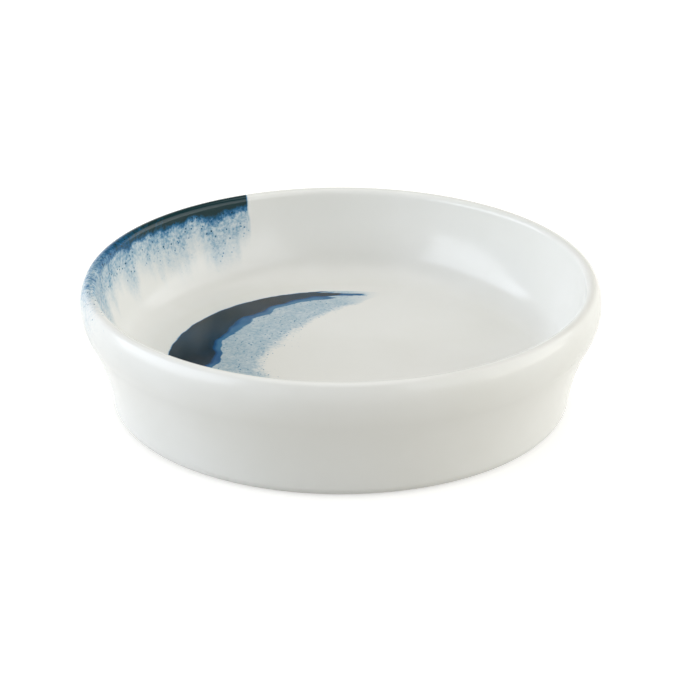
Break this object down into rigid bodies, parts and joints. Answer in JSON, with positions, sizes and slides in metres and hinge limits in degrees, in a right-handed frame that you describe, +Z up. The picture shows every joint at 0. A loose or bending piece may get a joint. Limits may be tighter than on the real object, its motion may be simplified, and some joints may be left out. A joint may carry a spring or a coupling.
{
  "type": "soy sauce dish",
  "caption": "Small round porcelain sauce dish with a drawn-in waist, thick rounded rim, flat well and bare foot ring, with blue brushed crescents.",
  "frame": {"origin": "centre of the foot ring, in the plane that it stands on", "axes": "+Z up along the axis of the dish; -Y towards the viewer of the picture, so +X is to the right; the decoration's middle lies towards -X"},
  "size_m": [0.1, 0.1, 0.025],
  "materials": {
    "bare_porcelain": "unglazed fired porcelain, matt, polished at the foot",
    "white_glaze": "clear glossy glaze over warm white porcelain",
    "indigo_glaze": "glossy slate-indigo glaze",
    "pale_blue_glaze": "glossy pale blue wash with fine speckle",
    "teal_glaze": "glossy deep blue-green glaze"
  },
  "bodies": {
    "root": {"porcelain_body": "bare_porcelain", "glaze_coat": "white_glaze", "base_glaze": "white_glaze", "dark_crescent": "indigo_glaze", "pale_crescent": "pale_blue_glaze", "rim_stroke": "teal_glaze"}
  },
  "joints": []
}
